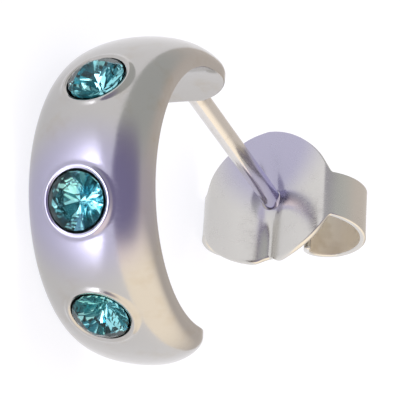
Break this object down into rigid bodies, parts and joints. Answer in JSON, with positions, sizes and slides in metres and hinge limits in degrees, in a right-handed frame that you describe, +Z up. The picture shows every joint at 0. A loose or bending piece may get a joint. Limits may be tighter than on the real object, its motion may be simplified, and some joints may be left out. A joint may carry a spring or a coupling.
{
  "type": "hoop earring",
  "caption": "Domed half-hoop stud earring with flush-set round blue-green crystals, a straight ear post behind the upper arm and a sliding butterfly clutch.",
  "frame": {"origin": "bottom centre of the bounding box, on the surface that the earring lies on", "axes": "+Z up, close to the hoop's own axis; -Y towards the hoop's front and its middle crystal; +Y the way the ear post runs back; +X towards the lower arm"},
  "size_m": [0.0122, 0.0216, 0.0078],
  "materials": {
    "silver_band": "polished sterling silver, mirror bright with fine wear",
    "crystal": "faceted blue-green crystal with a foiled back",
    "silver_sheet": "polished silver sheet, pressed and rolled"
  },
  "bodies": {
    "earring": {"hoop_and_post": "silver_band", "crystal_upper": "crystal", "crystal_middle": "crystal", "crystal_lower": "crystal"},
    "clutch": {"butterfly_clutch": "silver_sheet"}
  },
  "joints": [
    {"name": "clutch_slide", "type": "slide", "parent": "earring", "child": "clutch", "axis": [0.4615, 0.8855, 0.0537], "range_m": [-0.0075, 0.0058]}
  ]
}
